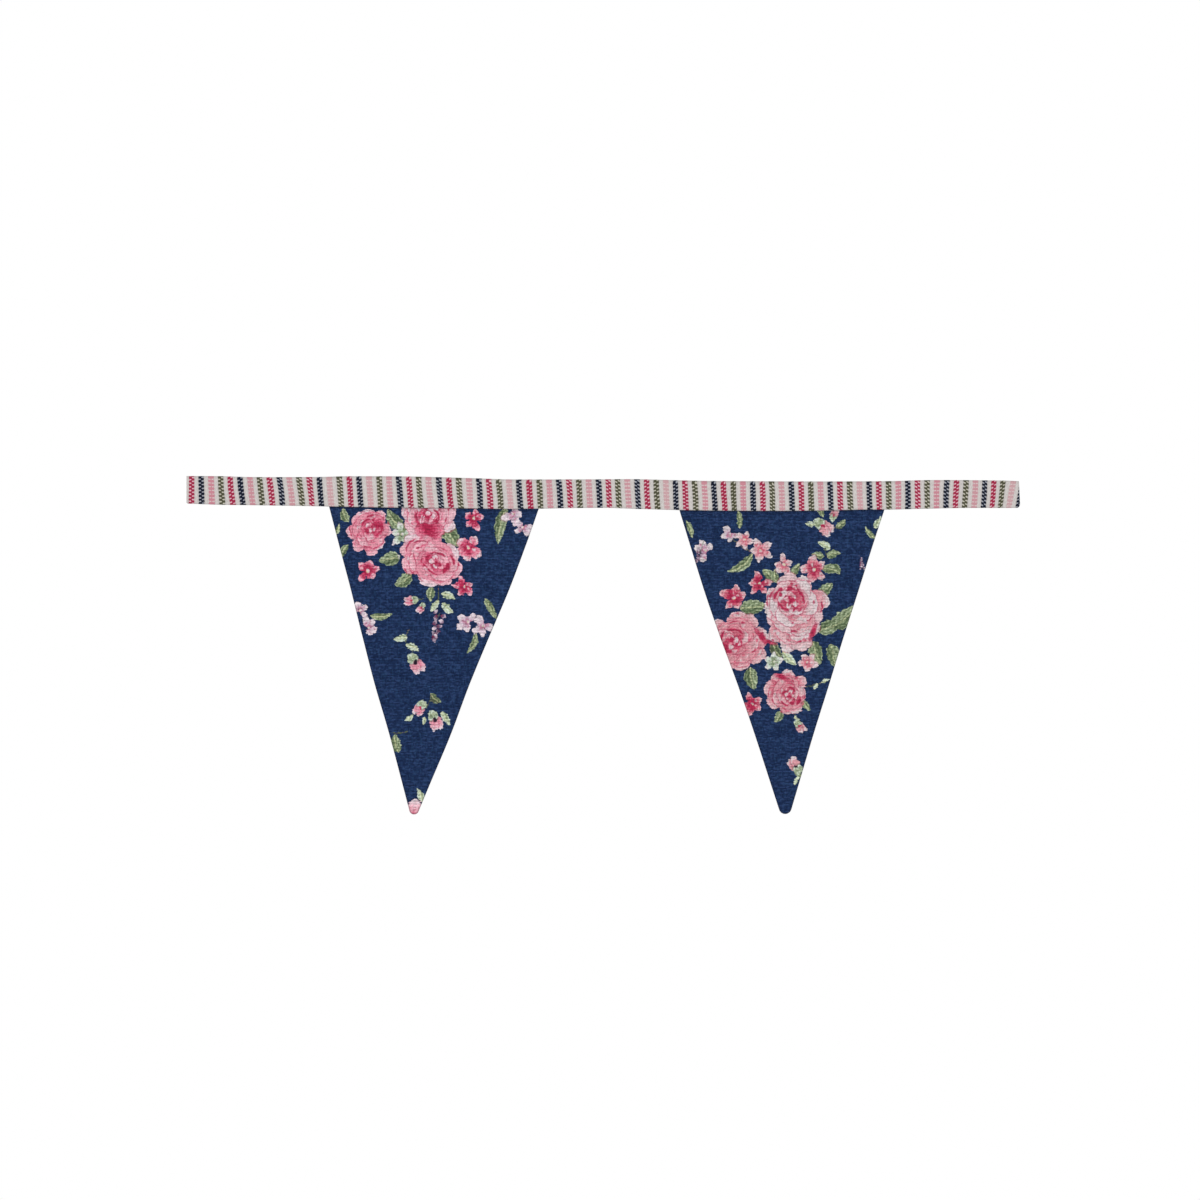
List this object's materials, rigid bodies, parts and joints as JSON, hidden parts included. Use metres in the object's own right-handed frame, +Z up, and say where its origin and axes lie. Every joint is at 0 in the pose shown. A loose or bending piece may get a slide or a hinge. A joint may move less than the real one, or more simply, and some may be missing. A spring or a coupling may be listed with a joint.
{
  "type": "fabric bunting",
  "caption": "Fabric bunting: triangular floral cotton pennants hanging from a folded striped tape, to be pinned or hung up by the tape.",
  "frame": {"origin": "on the tape's top fold, at mid-length and at the middle of the tape's thickness", "axes": "+X along the tape to the viewer's right, +Z up, the front faces -Y; the pennants hang towards -Z"},
  "size_m": [0.6834, 0.0097, 0.2773],
  "materials": {
    "striped_tape": "matt woven stripes",
    "floral_cotton": "matt printed plain weave"
  },
  "bodies": {
    "root": {"tape": "striped_tape", "pennant_left_front": "floral_cotton", "pennant_left_back": "floral_cotton", "pennant_right_front": "floral_cotton", "pennant_right_back": "floral_cotton"}
  },
  "joints": []
}
